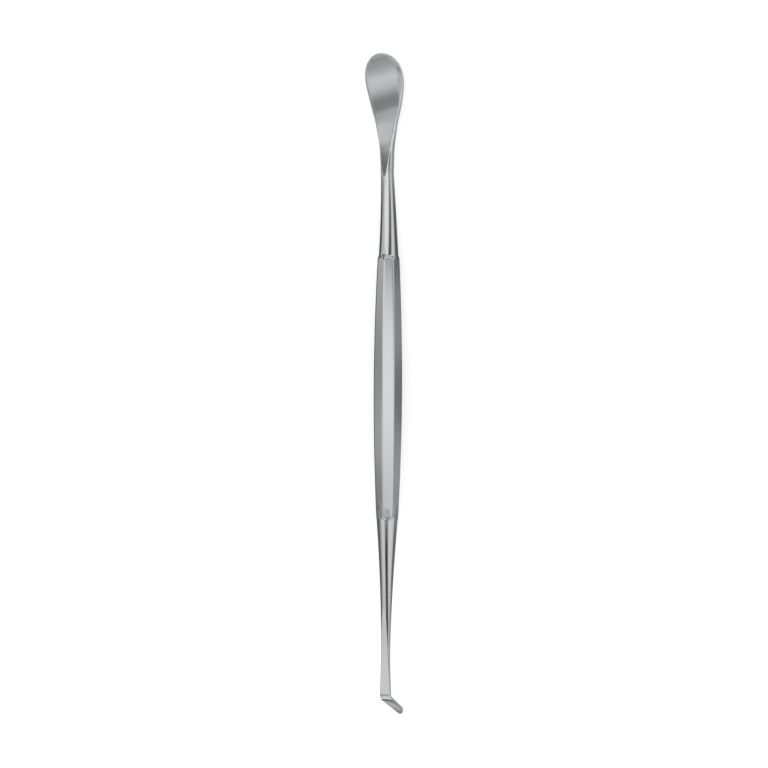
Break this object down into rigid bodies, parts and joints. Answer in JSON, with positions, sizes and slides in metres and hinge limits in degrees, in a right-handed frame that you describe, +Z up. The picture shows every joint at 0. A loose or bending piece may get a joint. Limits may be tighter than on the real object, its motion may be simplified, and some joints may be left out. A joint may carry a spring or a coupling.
{
  "type": "tonsil dissector",
  "caption": "Double-ended steel tonsil dissector: octagonal handle, serrated leaf-shaped spoon at one end and a flat bent pillar hook at the other.",
  "frame": {"origin": "centre of the footprint, on the table that the piece rests on", "axes": "+Y towards the serrated spoon, -Y towards the hook, +Z up from the table, as the piece comes to rest with the spoon's face up"},
  "size_m": [0.0138, 0.2254, 0.0135],
  "materials": {
    "steel": "satin on the handle's flats and the spoon, polished on the round necks"
  },
  "bodies": {
    "root": {"tonsil_dissector": "steel"}
  },
  "joints": []
}
